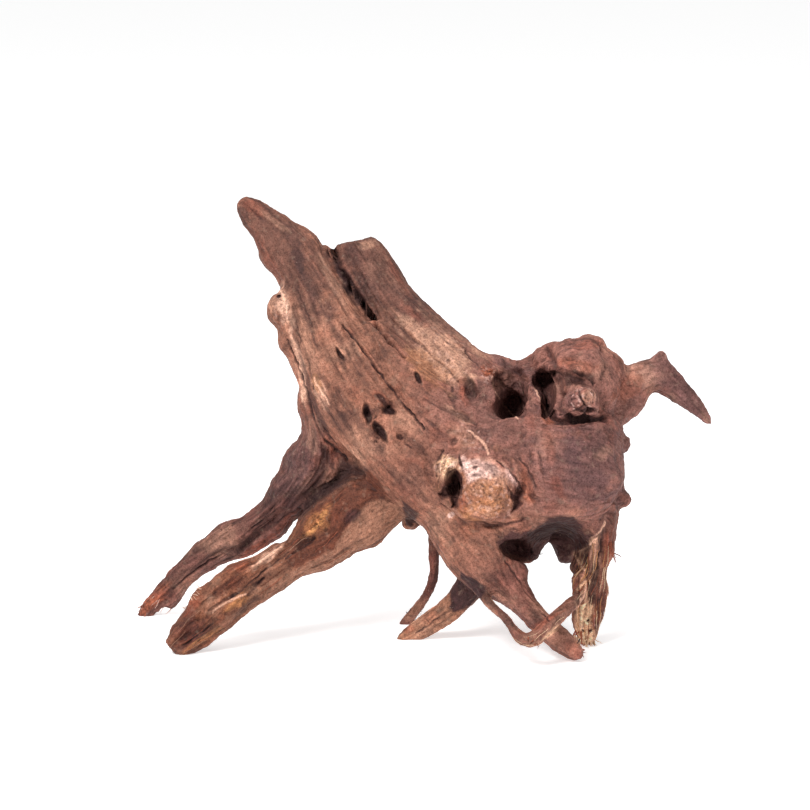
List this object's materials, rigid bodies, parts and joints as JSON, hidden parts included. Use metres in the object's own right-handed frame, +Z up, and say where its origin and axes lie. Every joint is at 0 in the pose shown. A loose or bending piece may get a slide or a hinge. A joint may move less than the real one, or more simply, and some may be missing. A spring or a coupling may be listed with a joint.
{
  "type": "aquarium driftwood",
  "caption": "Weathered root crown for an aquarium: a split trunk with a hollowed burl and an arch, standing on tapering roots.",
  "frame": {"origin": "middle of the bounding box's footprint, on the surface that the root tips stand on", "axes": "+X along the greatest length, from the left roots to the horn; -Y towards the viewer; +Z up"},
  "size_m": [0.292, 0.1262, 0.2144],
  "materials": {
    "root_crown_wood": "weathered, matt",
    "long_prong_wood": "weathered, matt, fine grain",
    "short_prong_wood": "weathered, matt, fine grain",
    "left_rear_root_wood": "dark, fibrous, matt",
    "left_front_root_wood": "amber, fibrous, matt",
    "front_root_wood": "weathered, matt",
    "right_root_wood": "golden, torn fibres",
    "stub_root_wood": "pale, matt",
    "hanging_rootlet_wood": "matt",
    "crossing_rootlet_wood": "matt",
    "horn_wood": "dark, matt"
  },
  "bodies": {
    "root": {"root_crown": "root_crown_wood", "long_prong": "long_prong_wood", "short_prong": "short_prong_wood", "left_rear_root": "left_rear_root_wood", "left_front_root": "left_front_root_wood", "front_root": "front_root_wood", "right_root": "right_root_wood", "stub_root": "stub_root_wood", "hanging_rootlet": "hanging_rootlet_wood", "crossing_rootlet": "crossing_rootlet_wood", "horn": "horn_wood"}
  },
  "joints": []
}
